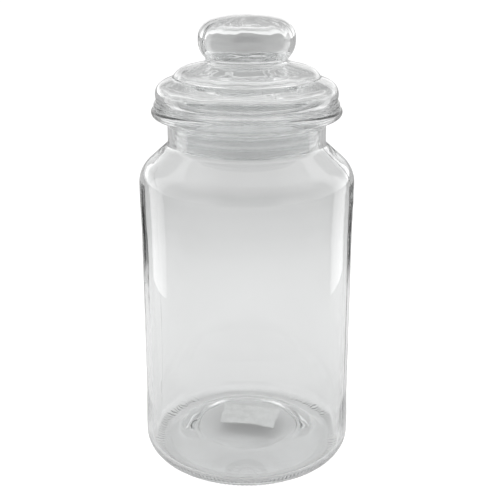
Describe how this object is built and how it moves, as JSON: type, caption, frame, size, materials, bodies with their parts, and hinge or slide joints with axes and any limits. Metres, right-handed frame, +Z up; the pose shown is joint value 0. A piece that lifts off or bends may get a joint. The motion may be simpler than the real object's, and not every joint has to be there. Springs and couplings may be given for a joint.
{
  "type": "apothecary jar",
  "caption": "Clear glass apothecary jar with a hollow, knobbed glass lid that plugs the neck through a clear flexible seal, and a blank torn label under its base.",
  "frame": {"origin": "centre of the foot ring, on the surface the jar stands on", "axes": "+Z up along the jar's axis; the label lies a little to +Y of the axis, and the front view looks along +Y"},
  "size_m": [0.1208, 0.1208, 0.2548],
  "materials": {
    "jar_glass": "clear, fire-polished, faintly grey",
    "lid_glass": "clear, fire-polished, faintly grey",
    "seal_plastic": "clear soft plastic, slightly milky",
    "label_paper": "matt white paper, torn and blank"
  },
  "bodies": {
    "jar": {"jar_body": "jar_glass", "label": "label_paper"},
    "lid": {"lid": "lid_glass"},
    "seal": {"seal_ring": "seal_plastic"}
  },
  "joints": [
    {"name": "lid_lift", "type": "slide", "parent": "jar", "child": "lid", "axis": [0, 0, 1], "range_m": [0, 0.08]},
    {"name": "seal_pull_off", "type": "slide", "parent": "lid", "child": "seal", "axis": [0, 0, -1], "range_m": [0, 0.024]}
  ]
}
